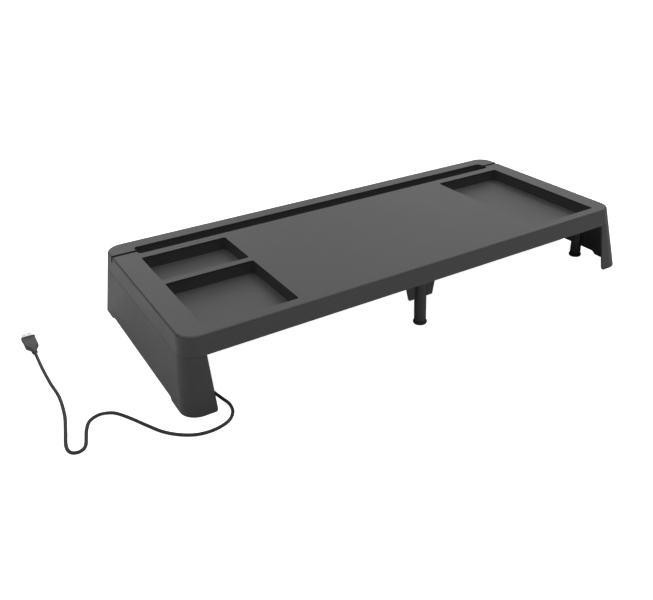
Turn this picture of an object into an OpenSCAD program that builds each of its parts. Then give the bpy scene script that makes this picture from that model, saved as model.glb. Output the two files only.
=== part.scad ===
// Desktop monitor riser: a one-piece deck with trays, two shell legs, six round
// support posts with levelling feet, and a small data hub with its lead.
// X runs along the width, +Y to the back, +Z up. The origin is at desk level,
// under the centre of the stand.

/* [Deck] */
// Width of the deck's top face
deck_w = 660; // [640:5:680]
// Depth of the deck's top face
deck_d = 292; // [287:1:297]
// Height of the top face above the desk
stand_h = 91; // [88:1:96]
// Height of the deck's side skirt
skirt_h = 23.5; // [22:0.5:26]
// Radius of the deck's corners in plan
corner_r = 22; // [16:1:26]
// Wall thickness of the mouldings
wall = 3; // [2.5:0.1:3.2]
// How far each side leans out between the top face and the desk
flare_x = 13; // [10:1:14]
// How far the front and the back lean out between the top face and the desk
flare_y = 16; // [14:1:18]

/* [Trays and slot] */
// Depth of the trays below the top face
tray_depth = 18; // [16:0.5:19]
// Depth of the document slot below the top face
slot_depth = 16; // [12:0.5:18]
// Width of the document slot, front to back
slot_w = 24.5; // [20:0.5:25]
// Width of the cable slit that runs from the slot to each side
slit_w = 6; // [4:0.5:7]
// How far the cable slit cuts down into the side skirt
slit_h = 8; // [5:1:12]

/* [Legs] */
// Width of a leg's front and back returns, at the top
return_w = 24; // [22:1:26]
// Height of the arch between a side panel's two feet
arch_h = 4.5; // [3:0.5:6]
// Radius of the returns' lower inner corners
toe_r = 4; // [2:1:6]

/* [Posts and feet] */
// Outer diameter of a support post
post_d = 16; // [15:0.5:16.5]
// Diameter of a levelling foot's disc
foot_d = 18.8; // [18:0.1:19.4]
// Thickness of a levelling foot's disc
foot_h = 2; // [1.5:0.1:2.2]
// Thickness of the rubber pad under a levelling foot
pad_h = 1.4; // [1:0.1:1.6]
// Diameter of a levelling foot's threaded stud
stud_d = 7.9; // [7.8:0.05:7.9]

/* [Hub and lead] */
// Length of the hub housing, front to back
hub_len = 76; // [70:1:80]
// Number of hub sockets
sockets = 3; // [1:1:3]
// Diameter of the lead
cord_d = 3.9; // [3:0.1:3.9]

/* [Hidden] */
$fn = 64;

eps = 0.01;
gap = 0.3;                       // clearance between separate mouldings
plastic = [0.26, 0.26, 0.27];
dark_plastic = [0.17, 0.17, 0.18];
rubber = [0.10, 0.10, 0.10];
steel = [0.70, 0.70, 0.72];

plate_z = stand_h - wall;        // underside of the top plate
skirt_z = stand_h - skirt_h;     // bottom of the skirt, top of the legs
web_h = 3;                       // thickness of a leg's top web

// Trays: left pair and right one, as [x0, x1, y0, y1]
tray_front = -132;
tray_back = 83;
tray_rib = 11;                   // wall between the two left trays
tray_split = -7;                 // back edge of the front left tray
left_margin = 31;
right_margin = 28;
left_tray_w = 116;
right_tray_w = 117;
tray_x0 = -deck_w / 2 + left_margin;
tray_x1 = tray_x0 + left_tray_w;
tray_x3 = deck_w / 2 - right_margin;
tray_x2 = tray_x3 - right_tray_w;
front_left_tray = [tray_x0, tray_x1, tray_front, tray_split];
rear_left_tray = [tray_x0, tray_x1, tray_split + tray_rib, tray_back];
right_tray = [tray_x2, tray_x3, tray_front, tray_back];
trays = [front_left_tray, rear_left_tray, right_tray];
tray_wall = 2.5;
tray_r = 3;

slot_y0 = 97.5;
slot_x0 = -297.5;
slot_x1 = 300;
slot_r = 5;
slit_y = slot_y0 + slot_w / 2 - 1.2;

// Posts, as [x, y]
side_post_x = deck_w / 2 - 16;
side_post_y = 99;
front_post = [-8, -130.3];
rear_post = [-8, 77];
post_xy = [
  front_post, rear_post,
  [-side_post_x, -side_post_y], [-side_post_x, side_post_y],
  [side_post_x, -side_post_y], [side_post_x, side_post_y]
];
spigot_d = 12;
spigot_h = 17;
post_z0 = pad_h + foot_h + gap;  // bottom of a post
insert_d = 11;
insert_h = 12;
insert_bore_d = 8;
stud_top = 24;
fin_t = 3;
fin_z0 = 38;                     // bottom of the fins
fin_low = 18.5;                  // half width of the fins at the bottom
fin_high = 26.7;                 // half width of the fins at the top
tab_z = 75.5;                    // underside of the fins' screw tabs
tab_h = 3;
tab_w = 12;
tab_y0 = -fin_t / 2;             // front and back edge of a tab from the post's axis
tab_y1 = 12.5;
tab_x = 15.5;                    // place of the tab screws from the post's axis
tab_y = 7;
tab_screws = [for (p = [front_post, rear_post], s = [-1, 1]) [p[0] + s * tab_x, p[1] + tab_y]];

// Screws
screw_d = 3;
head_d = 6;
head_h = 2.2;
leg_screw_x = 316;
leg_screw_y = [-125, -58, 58, 125];
boss_d = 8;

// Hub, inside the left leg
hub_y = hub_len / 2;
hub_x0 = -328;                   // outer face of the housing
hub_x1 = -306;                   // inner face of the cover
hub_z0 = 24;
hub_z1 = skirt_z - web_h;
hub_wall = 2;
cover_t = 2;
board_z = 33;
board_t = 1.6;
socket_pitch = 22;
socket_w = 13.2;
socket_h = 5.8;
socket_len = 14;
socket_t = 0.35;
ear_len = 12;
ear_h = 3;
ear_y = hub_y + 6;
exit_z = 29;
relief_len = 14;

// Route of the lead from the strain relief's tip to the plug's neck
desk_z = cord_d / 2 + 0.05;
plug_x = -450;
plug_z = 4;
neck_y = 76;
route = [
  [-312, -52, exit_z], [-311, -62, 28], [-308.5, -74, 23], [-305, -86, 15.5],
  [-301.5, -98, 8], [-299, -112, 3], [-297, -128, desk_z],
  [-294, -144, desk_z], [-291.5, -158, desk_z], [-294, -173, desk_z],
  [-303, -185, desk_z], [-316, -191, desk_z], [-330, -192, desk_z],
  [-344, -188, desk_z], [-358, -178, desk_z], [-370, -164, desk_z],
  [-380, -145, desk_z], [-390, -124, desk_z], [-400, -106, desk_z],
  [-408, -98, desk_z], [-419, -95.2, desk_z], [-430, -101, desk_z],
  [-436.5, -114, desk_z], [-440.5, -128, desk_z], [-443.5, -138.5, desk_z],
  [-447, -144.5, desk_z], [-453, -147.2, desk_z], [-459, -144.5, desk_z],
  [-461.8, -137, desk_z], [-461, -125, desk_z], [-456, -104, desk_z],
  [-450, -74, desk_z], [-447, -36, desk_z], [-449, -2, desk_z],
  [-450, 34, desk_z], [-450, 58, 2.2], [plug_x, neck_y, plug_z]
];

// ---- shapes shared by the parts ----

// Half width and half depth of the outer skin at a height
function half_x(z) = deck_w / 2 + flare_x * (stand_h - z) / stand_h;
function half_y(z) = deck_d / 2 + flare_y * (stand_h - z) / stand_h;

module rounded_rect(x0, x1, y0, y1, r) {
  translate([x0 + r, y0]) square([x1 - x0 - 2 * r, y1 - y0]);
  translate([x0, y0 + r]) square([x1 - x0, y1 - y0 - 2 * r]);
  for (x = [x0 + r, x1 - r], y = [y0 + r, y1 - r])
    translate([x, y]) circle(r, $fn = 32);
}

// Outline of the leaning skin at a height, anticlockwise, moved in by inset
arc_steps = 8;
function outline(z, inset) =
  let (x = half_x(z) - corner_r, y = half_y(z) - corner_r, r = corner_r - inset)
    [for (q = [0 : 3], k = [0 : arc_steps])
      let (a = 90 * (q + k / arc_steps), sx = q == 0 || q == 3 ? 1 : -1, sy = q < 2 ? 1 : -1)
        [sx * x + r * cos(a), sy * y + r * sin(a), z]];

// The stand's leaning outer skin between two heights, moved in by inset
module skin(z0, z1, inset = 0) {
  sides = 4 * (arc_steps + 1);
  polyhedron(
    points = concat(outline(z0, inset), outline(z1, inset)),
    faces = concat(
      [[for (k = [0 : sides - 1]) k]],
      [for (k = [0 : sides - 1]) [k, k + sides, (k + 1) % sides + sides, (k + 1) % sides]],
      [[for (k = [sides - 1 : -1 : 0]) sides + k]]));
}

module rounded_box(x0, x1, y0, y1, z0, z1, r) {
  translate([0, 0, z0])
    linear_extrude(z1 - z0)
      rounded_rect(x0, x1, y0, y1, r);
}

module block(x0, x1, y0, y1, z0, z1) {
  translate([x0, y0, z0]) cube([x1 - x0, y1 - y0, z1 - z0]);
}

module rod(x, y, z0, z1, d) {
  translate([x, y, z0]) cylinder(h = z1 - z0, d = d);
}

// ---- deck ----

module tray_pan(t) {
  rounded_box(t[0] - tray_wall, t[1] + tray_wall, t[2] - tray_wall, t[3] + tray_wall,
    stand_h - tray_depth - tray_wall, plate_z + eps, tray_r + tray_wall);
}

module tray_space(t) {
  rounded_box(t[0], t[1], t[2], t[3], stand_h - tray_depth, stand_h + 1, tray_r);
}

module slot_pan() {
  rounded_box(slot_x0 - tray_wall, slot_x1 + tray_wall,
    slot_y0 - tray_wall, slot_y0 + slot_w + tray_wall,
    stand_h - slot_depth - tray_wall, plate_z + eps, slot_r + tray_wall);
}

module slot_space() {
  rounded_box(slot_x0, slot_x1, slot_y0, slot_y0 + slot_w,
    stand_h - slot_depth, stand_h + 1, slot_r);
}

module slits() {
  for (s = [-1, 1])
    translate([s > 0 ? slot_x1 - 1 : -half_x(0), slit_y - slit_w / 2, stand_h - slit_h])
      cube([half_x(0) - slot_x1 + 5, slit_w, slit_h + 1]);
}

module deck_ribs() {
  rib_t = 2;
  rib_z = 75;
  for (x = [-150, -75, 75, 150])
    block(x - rib_t / 2, x + rib_t / 2, -deck_d / 2, slot_y0, rib_z, plate_z + eps);
}

module deck_bosses() {
  for (p = post_xy)
    rod(p[0], p[1], plate_z - spigot_h, plate_z + eps, spigot_d);
  for (s = [-1, 1], y = leg_screw_y)
    rod(s * leg_screw_x, y, skirt_z, plate_z + eps, boss_d);
  for (p = tab_screws)
    rod(p[0], p[1], tab_z + tab_h, plate_z + eps, boss_d);
}

module deck_shell() {
  pilot = 12;
  color(plastic)
    difference() {
      union() {
        difference() {
          skin(skirt_z, stand_h);
          skin(skirt_z - 1, plate_z, wall);
        }
        for (t = trays) tray_pan(t);
        slot_pan();
        deck_ribs();
        deck_bosses();
      }
      for (t = trays) tray_space(t);
      slot_space();
      slits();
      for (s = [-1, 1], y = leg_screw_y)
        rod(s * leg_screw_x, y, skirt_z - 1, skirt_z + pilot, screw_d);
      for (p = tab_screws)
        rod(p[0], p[1], tab_z, plate_z - 1, screw_d);
    }
}

// ---- legs ----

// Everything of the skin outside a leg's inner plane, for the left leg
module leg_region(z0, z1) {
  block(-half_x(0) - 1, -deck_w / 2 + return_w, -half_y(0) - 1, half_y(0) + 1, z0, z1);
}

module leg_arch() {
  reach = 117;
  ramp = 6;
  translate([-half_x(0) - 1, 0, 0])
    rotate([90, 0, 90])
      linear_extrude(wall + 12)
        polygon([[-reach, -1], [-reach, 0], [-reach + ramp, arch_h],
                 [reach - ramp, arch_h], [reach, 0], [reach, -1]]);
}

// Rounds the lower inner corner of both returns
module toe_cuts() {
  x = -deck_w / 2 + return_w;
  translate([0, half_y(0) + 1, 0])
    rotate([90, 0, 0])
      linear_extrude(2 * half_y(0) + 2)
        difference() {
          translate([x - toe_r, -1]) square([toe_r + 1, toe_r + 1]);
          translate([x - toe_r, toe_r]) circle(toe_r);
        }
}

module leg() {
  lip_h = 5;
  lip_t = 2;
  difference() {
    union() {
      difference() {
        intersection() {
          skin(0, skirt_z - gap);
          leg_region(-1, skirt_z);
        }
        skin(-1, hub_z1, wall);
      }
      intersection() {
        difference() {
          skin(hub_z1 + 1, skirt_z + lip_h, wall + gap);
          skin(hub_z1, skirt_z + lip_h + 1, wall + gap + lip_t);
        }
        leg_region(hub_z1, skirt_z + lip_h + 1);
      }
      for (y = leg_screw_y)
        rod(-leg_screw_x, y, hub_z1 + 1, skirt_z, boss_d);
    }
    leg_arch();
    toe_cuts();
    for (s = [-1, 1])
      rod(-side_post_x, s * side_post_y, hub_z1 - 1, skirt_z + lip_h + 2, post_d + 2 * gap);
    for (y = leg_screw_y)
      rod(-leg_screw_x, y, hub_z1 - 1, skirt_z + 1, screw_d + 2 * gap);
    for (s = [-1, 1])
      rod(-leg_screw_x, s * ear_y, hub_z1 - 1, skirt_z + 1, screw_d);
  }
}

module left_leg() {
  color(plastic) leg();
}

module right_leg() {
  color(plastic) mirror([1, 0, 0]) leg();
}

// ---- posts, inserts and feet ----

module post_tube(p) {
  difference() {
    rod(p[0], p[1], post_z0, plate_z, post_d);
    rod(p[0], p[1], plate_z - spigot_h - gap, plate_z + 1, spigot_d);
    rod(p[0], p[1], post_z0 - 1, post_z0 + insert_h, insert_d);
    rod(p[0], p[1], post_z0 - 1, stud_top + 2, stud_d + 2 * gap);
  }
}

// Two gusset fins in the plane across the stand, with a screw tab behind each
module fins(p) {
  difference() {
    union()
      for (s = [-1, 1]) {
        translate([p[0], p[1] + fin_t / 2, 0])
          rotate([90, 0, 0])
            linear_extrude(fin_t)
              polygon([[s * (post_d / 2 - 1), fin_z0], [s * fin_low, fin_z0],
                       [s * fin_high, tab_z + tab_h], [s * (post_d / 2 - 1), tab_z + tab_h]]);
        block(p[0] + s * tab_x - tab_w / 2, p[0] + s * tab_x + tab_w / 2,
          p[1] + tab_y0, p[1] + tab_y1, tab_z, tab_z + tab_h);
      }
    for (s = [-1, 1])
      rod(p[0] + s * tab_x, p[1] + tab_y, tab_z - 1, tab_z + tab_h + 1, screw_d + 2 * gap);
  }
}

module centre_post(p) {
  color(dark_plastic) {
    post_tube(p);
    fins(p);
  }
}

module side_post(i) {
  color(dark_plastic) post_tube(post_xy[i]);
}

module foot(i) {
  p = post_xy[i];
  color(dark_plastic) {
    rod(p[0], p[1], pad_h, pad_h + foot_h, foot_d);
    rod(p[0], p[1], pad_h + foot_h - eps, stud_top, stud_d);
  }
}

module pad(i) {
  p = post_xy[i];
  color(rubber) rod(p[0], p[1], 0, pad_h, foot_d - 1);
}

module thread_inserts() {
  color("goldenrod")
    for (p = post_xy)
      difference() {
        rod(p[0], p[1], post_z0 + gap, post_z0 + insert_h, insert_d);
        rod(p[0], p[1], post_z0, post_z0 + insert_h + 1, insert_bore_d);
      }
}

// ---- screws ----

module screw(x, y, z, len) {
  rod(x, y, z - head_h, z, head_d);
  rod(x, y, z - eps, z + len, screw_d);
}

module leg_screws(s) {
  color(steel)
    for (y = leg_screw_y) screw(s * leg_screw_x, y, hub_z1, 14);
}

module post_screws() {
  color(steel)
    for (p = tab_screws) screw(p[0], p[1], tab_z, 10);
}

module hub_screws() {
  color(steel)
    for (s = [-1, 1])
      screw(-leg_screw_x, s * ear_y, hub_z1 - ear_h, ear_h + 2);
}

// ---- hub ----

function socket_y(i) = (i - (sockets - 1) / 2) * socket_pitch;

module hub_housing() {
  color(dark_plastic)
    difference() {
      union() {
        block(hub_x0, hub_x1 - cover_t, -hub_y, hub_y, hub_z0, hub_z1);
        block(-leg_screw_x - 5, -leg_screw_x + 5, -hub_y - ear_len, hub_y + ear_len,
          hub_z1 - ear_h, hub_z1);
      }
      block(hub_x0 + hub_wall, hub_x1, -hub_y + hub_wall, hub_y - hub_wall,
        hub_z0 + hub_wall, hub_z1 - hub_wall);
      for (s = [-1, 1])
        rod(-leg_screw_x, s * ear_y, hub_z1 - ear_h - 1, hub_z1 + 1, screw_d + 2 * gap);
      translate([route[0][0], -hub_y + hub_wall + 1, exit_z])
        rotate([90, 0, 0])
          cylinder(h = hub_wall + 2, d = 6);
    }
}

module hub_cover() {
  window = 0.2;
  color(dark_plastic)
    difference() {
      block(hub_x1 - cover_t, hub_x1, -hub_y, hub_y, hub_z0, hub_z1);
      for (i = [0 : sockets - 1])
        block(hub_x1 - cover_t - 1, hub_x1 + 1,
          socket_y(i) - socket_w / 2 - window, socket_y(i) + socket_w / 2 + window,
          board_z + board_t - window, board_z + board_t + socket_h + window);
    }
}

module hub_board() {
  color("darkgreen")
    block(hub_x0 + hub_wall, hub_x1 - cover_t, -hub_y + hub_wall, hub_y - hub_wall,
      board_z, board_z + board_t);
}

module hub_chip() {
  color("black")
    block(-322, -315, -hub_y + 6, -hub_y + 13, board_z - 1.6, board_z);
}

module hub_socket(i) {
  z0 = board_z + board_t;
  color(steel)
    difference() {
      block(hub_x1 - socket_len, hub_x1 - eps, socket_y(i) - socket_w / 2,
        socket_y(i) + socket_w / 2, z0, z0 + socket_h);
      block(hub_x1 - socket_len + socket_t, hub_x1 + 1,
        socket_y(i) - socket_w / 2 + socket_t, socket_y(i) + socket_w / 2 - socket_t,
        z0 + socket_t, z0 + socket_h - socket_t);
    }
}

module hub_tongue(i) {
  z0 = board_z + board_t + socket_h - socket_t - 2.1;
  color("white")
    block(hub_x1 - socket_len + socket_t, hub_x1 - 2, socket_y(i) - 5.6, socket_y(i) + 5.6,
      z0, z0 + 1.8);
}

// ---- lead ----

// Tapered sleeve that grips the lead where it leaves the hub housing
module strain_relief() {
  color(rubber)
    translate([route[0][0], -hub_y, exit_z])
      rotate([90, 0, 0])
        rotate_extrude($fn = 32)
          polygon([[0, -4], [2.9, -4], [2.9, 0], [4, 0], [4, 1.5], [3.4, 1.5],
                   [2.2, relief_len], [0, relief_len]]);
}

function on_desk(p) = [p[0], p[1], max(p[2], desk_z)];
function spline(p0, p1, p2, p3, t) =
  0.5 * (2 * p1 + (p2 - p0) * t + (2 * p0 - 5 * p1 + 4 * p2 - p3) * t * t
    + (3 * p1 - p0 - 3 * p2 + p3) * t * t * t);
function at(i) = route[min(max(i, 0), len(route) - 1)];
function steps(i) = max(1, round(norm(route[i + 1] - route[i]) / 9.5));
centre_line = concat(
  [for (i = [0 : len(route) - 2], k = [0 : steps(i) - 1])
    on_desk(spline(at(i - 1), at(i), at(i + 1), at(i + 2), k / steps(i)))],
  [route[len(route) - 1]]);

function unit(v) = v / norm(v);
function heading(i) =
  unit(centre_line[min(i + 1, len(centre_line) - 1)] - centre_line[max(i - 1, 0)]);
function ring(i, sides) =
  let (side = unit(cross(heading(i), [0, 0, 1])), up = cross(side, heading(i)))
    [for (k = [0 : sides - 1])
      centre_line[i] + cord_d / 2 * (cos(360 * k / sides) * side + sin(360 * k / sides) * up)];

module lead() {
  sides = 8;
  rings = len(centre_line);
  color(dark_plastic)
    polyhedron(
      points = [for (i = [0 : rings - 1]) each ring(i, sides)],
      faces = concat(
        [[for (k = [0 : sides - 1]) k]],
        [for (i = [0 : rings - 2], k = [0 : sides - 1])
          [i * sides + k, (i + 1) * sides + k,
           (i + 1) * sides + (k + 1) % sides, i * sides + (k + 1) % sides]],
        [[for (k = [sides - 1 : -1 : 0]) (rings - 1) * sides + k]]));
}

plug_face_y = 119;
plug_w = 17.1;
plug_h = 7.8;
shell_w = 12;
shell_h = 4.5;
shell_len = 12;

module plug_body() {
  shoulder_y = 93.5;
  neck_end = 83;
  color(dark_plastic)
    union() {
      translate([plug_x, 0, plug_z - plug_h / 2])
        linear_extrude(plug_h)
          polygon([[-plug_w / 2, plug_face_y], [plug_w / 2, plug_face_y],
                   [plug_w / 2 - 0.6, shoulder_y + 2], [plug_w / 2 - 1.6, shoulder_y],
                   [2.8, neck_end], [-2.8, neck_end],
                   [-plug_w / 2 + 1.6, shoulder_y], [-plug_w / 2 + 0.6, shoulder_y + 2]]);
      translate([plug_x, neck_y, plug_z])
        rotate([-90, 0, 0])
          cylinder(h = neck_end - neck_y + 1, d = 6.6);
    }
}

module plug_shell() {
  t = 0.3;
  root = 2;
  color(steel)
    difference() {
      block(plug_x - shell_w / 2, plug_x + shell_w / 2, plug_face_y,
        plug_face_y + shell_len, plug_z - shell_h / 2, plug_z + shell_h / 2);
      block(plug_x - shell_w / 2 + t, plug_x + shell_w / 2 - t, plug_face_y + root,
        plug_face_y + shell_len + 1, plug_z - shell_h / 2 + t, plug_z + shell_h / 2 - t);
      for (s = [-1, 1])
        block(plug_x + s * 3.25 - 1.25, plug_x + s * 3.25 + 1.25, plug_face_y + 5.6,
          plug_face_y + 7.8, plug_z, plug_z + shell_h);
    }
}

module plug_tongue() {
  t = 0.3;
  color("white")
    block(plug_x - shell_w / 2 + t, plug_x + shell_w / 2 - t, plug_face_y + 2,
      plug_face_y + shell_len - 0.5, plug_z - shell_h / 2 + t, plug_z - 0.1);
}

deck_shell();
left_leg();
right_leg();
centre_post(front_post);  // front_centre_post
centre_post(rear_post);  // rear_centre_post
side_post(2);  // left_front_post
side_post(3);  // left_rear_post
side_post(4);  // right_front_post
side_post(5);  // right_rear_post
foot(0);  // front_centre_foot
foot(1);  // rear_centre_foot
foot(2);  // left_front_foot
foot(3);  // left_rear_foot
foot(4);  // right_front_foot
foot(5);  // right_rear_foot
pad(0);  // front_centre_pad
pad(1);  // rear_centre_pad
pad(2);  // left_front_pad
pad(3);  // left_rear_pad
pad(4);  // right_front_pad
pad(5);  // right_rear_pad
thread_inserts();
leg_screws(-1);  // left_leg_screws
leg_screws(1);  // right_leg_screws
post_screws();
hub_housing();
hub_cover();
hub_board();
hub_chip();
hub_screws();
hub_socket(0);  // hub_socket_1
hub_socket(1);  // hub_socket_2
hub_socket(2);  // hub_socket_3
hub_tongue(0);  // hub_tongue_1
hub_tongue(1);  // hub_tongue_2
hub_tongue(2);  // hub_tongue_3
strain_relief();
lead();
plug_body();
plug_shell();
plug_tongue();
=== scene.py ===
"""The looks of the monitor riser, in metres: its pieces, lead, materials, camera, floor and lights."""
import math

import bmesh
import bpy
from mathutils import Euler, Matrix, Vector


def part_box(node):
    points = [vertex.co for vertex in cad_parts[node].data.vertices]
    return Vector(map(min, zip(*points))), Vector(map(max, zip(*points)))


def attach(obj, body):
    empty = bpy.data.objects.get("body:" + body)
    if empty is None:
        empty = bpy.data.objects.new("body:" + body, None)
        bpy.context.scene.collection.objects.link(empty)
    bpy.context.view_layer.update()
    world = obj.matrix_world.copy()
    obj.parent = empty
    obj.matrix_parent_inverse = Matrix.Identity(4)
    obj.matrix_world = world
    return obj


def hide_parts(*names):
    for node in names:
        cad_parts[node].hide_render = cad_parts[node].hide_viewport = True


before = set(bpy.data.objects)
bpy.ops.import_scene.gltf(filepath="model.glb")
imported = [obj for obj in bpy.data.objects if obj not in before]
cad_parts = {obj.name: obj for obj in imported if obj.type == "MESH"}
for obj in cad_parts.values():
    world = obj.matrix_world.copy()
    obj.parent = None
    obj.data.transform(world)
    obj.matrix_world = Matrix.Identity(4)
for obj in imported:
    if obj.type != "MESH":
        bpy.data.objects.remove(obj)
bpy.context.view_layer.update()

# ---- sizes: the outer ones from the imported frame, the others as the CAD has them ----

deck_lo, deck_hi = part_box("deck_shell")
leg_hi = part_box("right_leg")[1]
STAND_H = deck_hi.z
SKIRT_Z = deck_lo.z
WALL = 0.003
GAP = 0.0003                        # clearance between separate mouldings
PLATE_Z = STAND_H - WALL            # underside of the top plate
CORNER_R = 0.022
TOP_R = 0.0024                      # rounding of the deck's top edge
RIM_R = 0.0006                      # rounding of the tray and slot rims
PART_R = 0.0003                     # rounding of both edges of the parting line
PART_GAP = 0.0002                   # width of the parting line
OVER = 0.001                        # how far a tool passes the face that it cuts, or an added solid sinks in
SAME_POINT = 2e-6                   # points closer than this are one
LEAN_X = (leg_hi.x - deck_hi.x) / SKIRT_Z
LEAN_Y = (leg_hi.y - deck_hi.y) / SKIRT_Z

# Trays and the slot, as (x0, x1, y0, y1)
TRAYS = (
    (-0.299, -0.183, -0.132, -0.007),
    (-0.299, -0.183, 0.004, 0.083),
    (0.185, 0.302, -0.132, 0.083),
)
TRAY_DEPTH = 0.018
TRAY_R = 0.003
SLOT = (-0.2975, 0.300, 0.0975, 0.122)
SLOT_DEPTH = 0.016
SLOT_R = 0.005
SLIT_W = 0.006
SLIT_Y = 0.10855
SLIT_H = 0.008
PAN_WALL = 0.0025                   # walls and floors of the trays and the slot
RIBS_X = (-0.150, -0.075, 0.075, 0.150)
RIB_Z = 0.075                       # free edge of the ribs

RETURN_X = 0.306                    # inner end of a leg's returns
WEB_Z = SKIRT_Z - 0.003             # underside of a leg's top web
ARCH_H = 0.0045                     # gap under a leg's side panel
ARCH_REACH = 0.117
TOE_R = 0.004                       # lower inner corner of a leg's returns

POST_R = 0.008
SPIGOT_R = 0.006                    # spigots under the deck, which the posts push onto
SPIGOT_L = 0.017
INSERT_R = 0.0055
INSERT_L = 0.012

SCREW_X = 0.316                     # leg screws
SCREW_Y = (-0.125, -0.058, 0.058, 0.125)
EAR_Y = 0.044                       # hub screws, through the ears of its housing
EAR_T = 0.003
TAB_X = 0.0155                      # tab screws, from a centre post's axis
TAB_Y = 0.007
TAB_Z = 0.0755                      # underside of the tabs
TAB_T = 0.003
BOSS_R = 0.004
PILOT_R = 0.0015

CENTRES = ("front_centre", "rear_centre")
PLACES = CENTRES + ("left_front", "left_rear", "right_front", "right_rear")


def axis_of(place):
    """The x and y of a post's axis."""
    lo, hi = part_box(f"{place}_foot")
    return (lo.x + hi.x) / 2, (lo.y + hi.y) / 2


POSTS = {place: axis_of(place) for place in PLACES}
TAB_SCREWS = [(POSTS[place][0] + side * TAB_X, POSTS[place][1] + TAB_Y)
              for place in CENTRES for side in (-1, 1)]
LEG_SCREWS = [(side * SCREW_X, y) for side in (-1, 1) for y in SCREW_Y]

# ---- the lead's route, within 0.3 mm of part.scad's, from the strain relief's tip to the plug's neck ----

LEAD_R = 0.00195
ON_DESK = 0.002
PLUG_X = -0.450
PLUG_Z = 0.004
NECK_Y = 0.076
LEAD_ROUTE = (
    (-0.312, -0.052, 0.029), (-0.311, -0.062, 0.028), (-0.3085, -0.074, 0.023), (-0.305, -0.086, 0.0155),
    (-0.3015, -0.098, 0.008), (-0.299, -0.112, 0.003), (-0.297, -0.128, ON_DESK),
    (-0.294, -0.144, ON_DESK), (-0.2915, -0.158, ON_DESK), (-0.294, -0.173, ON_DESK),
    (-0.303, -0.185, ON_DESK), (-0.316, -0.1907, ON_DESK), (-0.330, -0.1917, ON_DESK),
    (-0.344, -0.188, ON_DESK), (-0.358, -0.178, ON_DESK), (-0.370, -0.164, ON_DESK),
    (-0.380, -0.145, ON_DESK), (-0.390, -0.124, ON_DESK), (-0.400, -0.106, ON_DESK),
    (-0.408, -0.098, ON_DESK), (-0.419, -0.0952, ON_DESK), (-0.430, -0.101, ON_DESK),
    (-0.4365, -0.114, ON_DESK), (-0.4405, -0.128, ON_DESK), (-0.4435, -0.1385, ON_DESK),
    (-0.447, -0.1445, ON_DESK), (-0.453, -0.1472, ON_DESK), (-0.459, -0.1445, ON_DESK),
    (-0.4616, -0.137, ON_DESK), (-0.4607, -0.125, ON_DESK), (-0.456, -0.104, ON_DESK),
    (-0.450, -0.074, ON_DESK), (-0.447, -0.036, ON_DESK), (-0.449, -0.002, ON_DESK),
    (-0.450, 0.034, ON_DESK), (-0.450, 0.058, 0.0022), (PLUG_X, NECK_Y, PLUG_Z),
)


def half_x(z):
    """Half width of the leaning outer skin at a height."""
    return leg_hi.x - LEAN_X * z


def half_y(z):
    """Half depth of the leaning outer skin at a height."""
    return leg_hi.y - LEAN_Y * z


# ---- mesh tools ----

def add_object(name, data):
    """A new object in the scene."""
    obj = bpy.data.objects.new(name, data)
    bpy.context.scene.collection.objects.link(obj)
    return obj


def loft(name, rings, around=False):
    """A closed solid through rings of equal length, with its faces outward.

    around joins the last ring to the first instead of capping both ends.
    """
    count = len(rings[0])
    spans = len(rings) if around else len(rings) - 1
    faces = []
    for r in range(spans):
        low, high = r * count, (r + 1) % len(rings) * count
        for k in range(count):
            n = (k + 1) % count
            faces.append((low + k, low + n, high + n, high + k))
    if not around:
        last = (len(rings) - 1) * count
        faces.append(tuple(reversed(range(count))))
        faces.append(tuple(range(last, last + count)))
    mesh = bpy.data.meshes.new(name)
    mesh.from_pydata([p for ring in rings for p in ring], [], faces)
    bm = bmesh.new()
    bm.from_mesh(mesh)
    if bm.calc_volume(signed=True) < 0:
        bmesh.ops.reverse_faces(bm, faces=bm.faces)
    bm.to_mesh(mesh)
    bm.free()
    return add_object(name, mesh)


def rect_points(x0, x1, y0, y1, r, arc=6):
    """A rounded rectangle, anticlockwise, as (x, y) points."""
    least = 0.00002
    r = max(r, least)
    corners = ((x1 - r, y1 - r), (x0 + r, y1 - r), (x0 + r, y0 + r), (x1 - r, y0 + r))
    points = []
    for quarter, (cx, cy) in enumerate(corners):
        for k in range(arc + 1):
            a = math.pi / 2 * (quarter + k / arc)
            points.append((cx + r * math.cos(a), cy + r * math.sin(a)))
    return points


def at_height(points, z):
    """A flat ring through (x, y) points."""
    return [(x, y, z) for x, y in points]


def slab(name, x0, x1, y0, y1, levels, r, arc=6):
    """A rounded box whose outline moves in by inset at each (height, inset) level."""
    return loft(name, [
        at_height(rect_points(x0 + i, x1 - i, y0 + i, y1 - i, r - i, arc), z) for z, i in levels])


def skin(name, levels, arc=16):
    """The stand's leaning outer shape through (height, inset) levels."""
    rings = []
    for z, inset in levels:
        hx, hy = half_x(z) - inset, half_y(z) - inset
        rings.append(at_height(rect_points(-hx, hx, -hy, hy, CORNER_R - inset, arc), z))
    return loft(name, rings)


def rounded_foot(z, r, steps=4, inset=0.0):
    """Levels that round the lower edge of a solid that starts at z."""
    angles = [math.pi / 2 * k / steps for k in range(steps + 1)]
    return [(z + r - r * math.cos(a), inset + r - r * math.sin(a)) for a in angles]


def rounded_head(z, r, steps=4, inset=0.0):
    """Levels that round the upper edge of a solid that ends at z."""
    return [(2 * z - level, i) for level, i in reversed(rounded_foot(z, r, steps, inset))]


def circle(x, y, z, r, sides):
    """A flat ring of points round a vertical axis."""
    return [(x + r * math.cos(math.tau * k / sides), y + r * math.sin(math.tau * k / sides), z)
            for k in range(sides)]


def turned(name, x, y, profile, sides=32, around=False):
    """A solid turned about a vertical axis through (radius, height) points."""
    return loft(name, [circle(x, y, z, r, sides) for r, z in profile], around)


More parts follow.
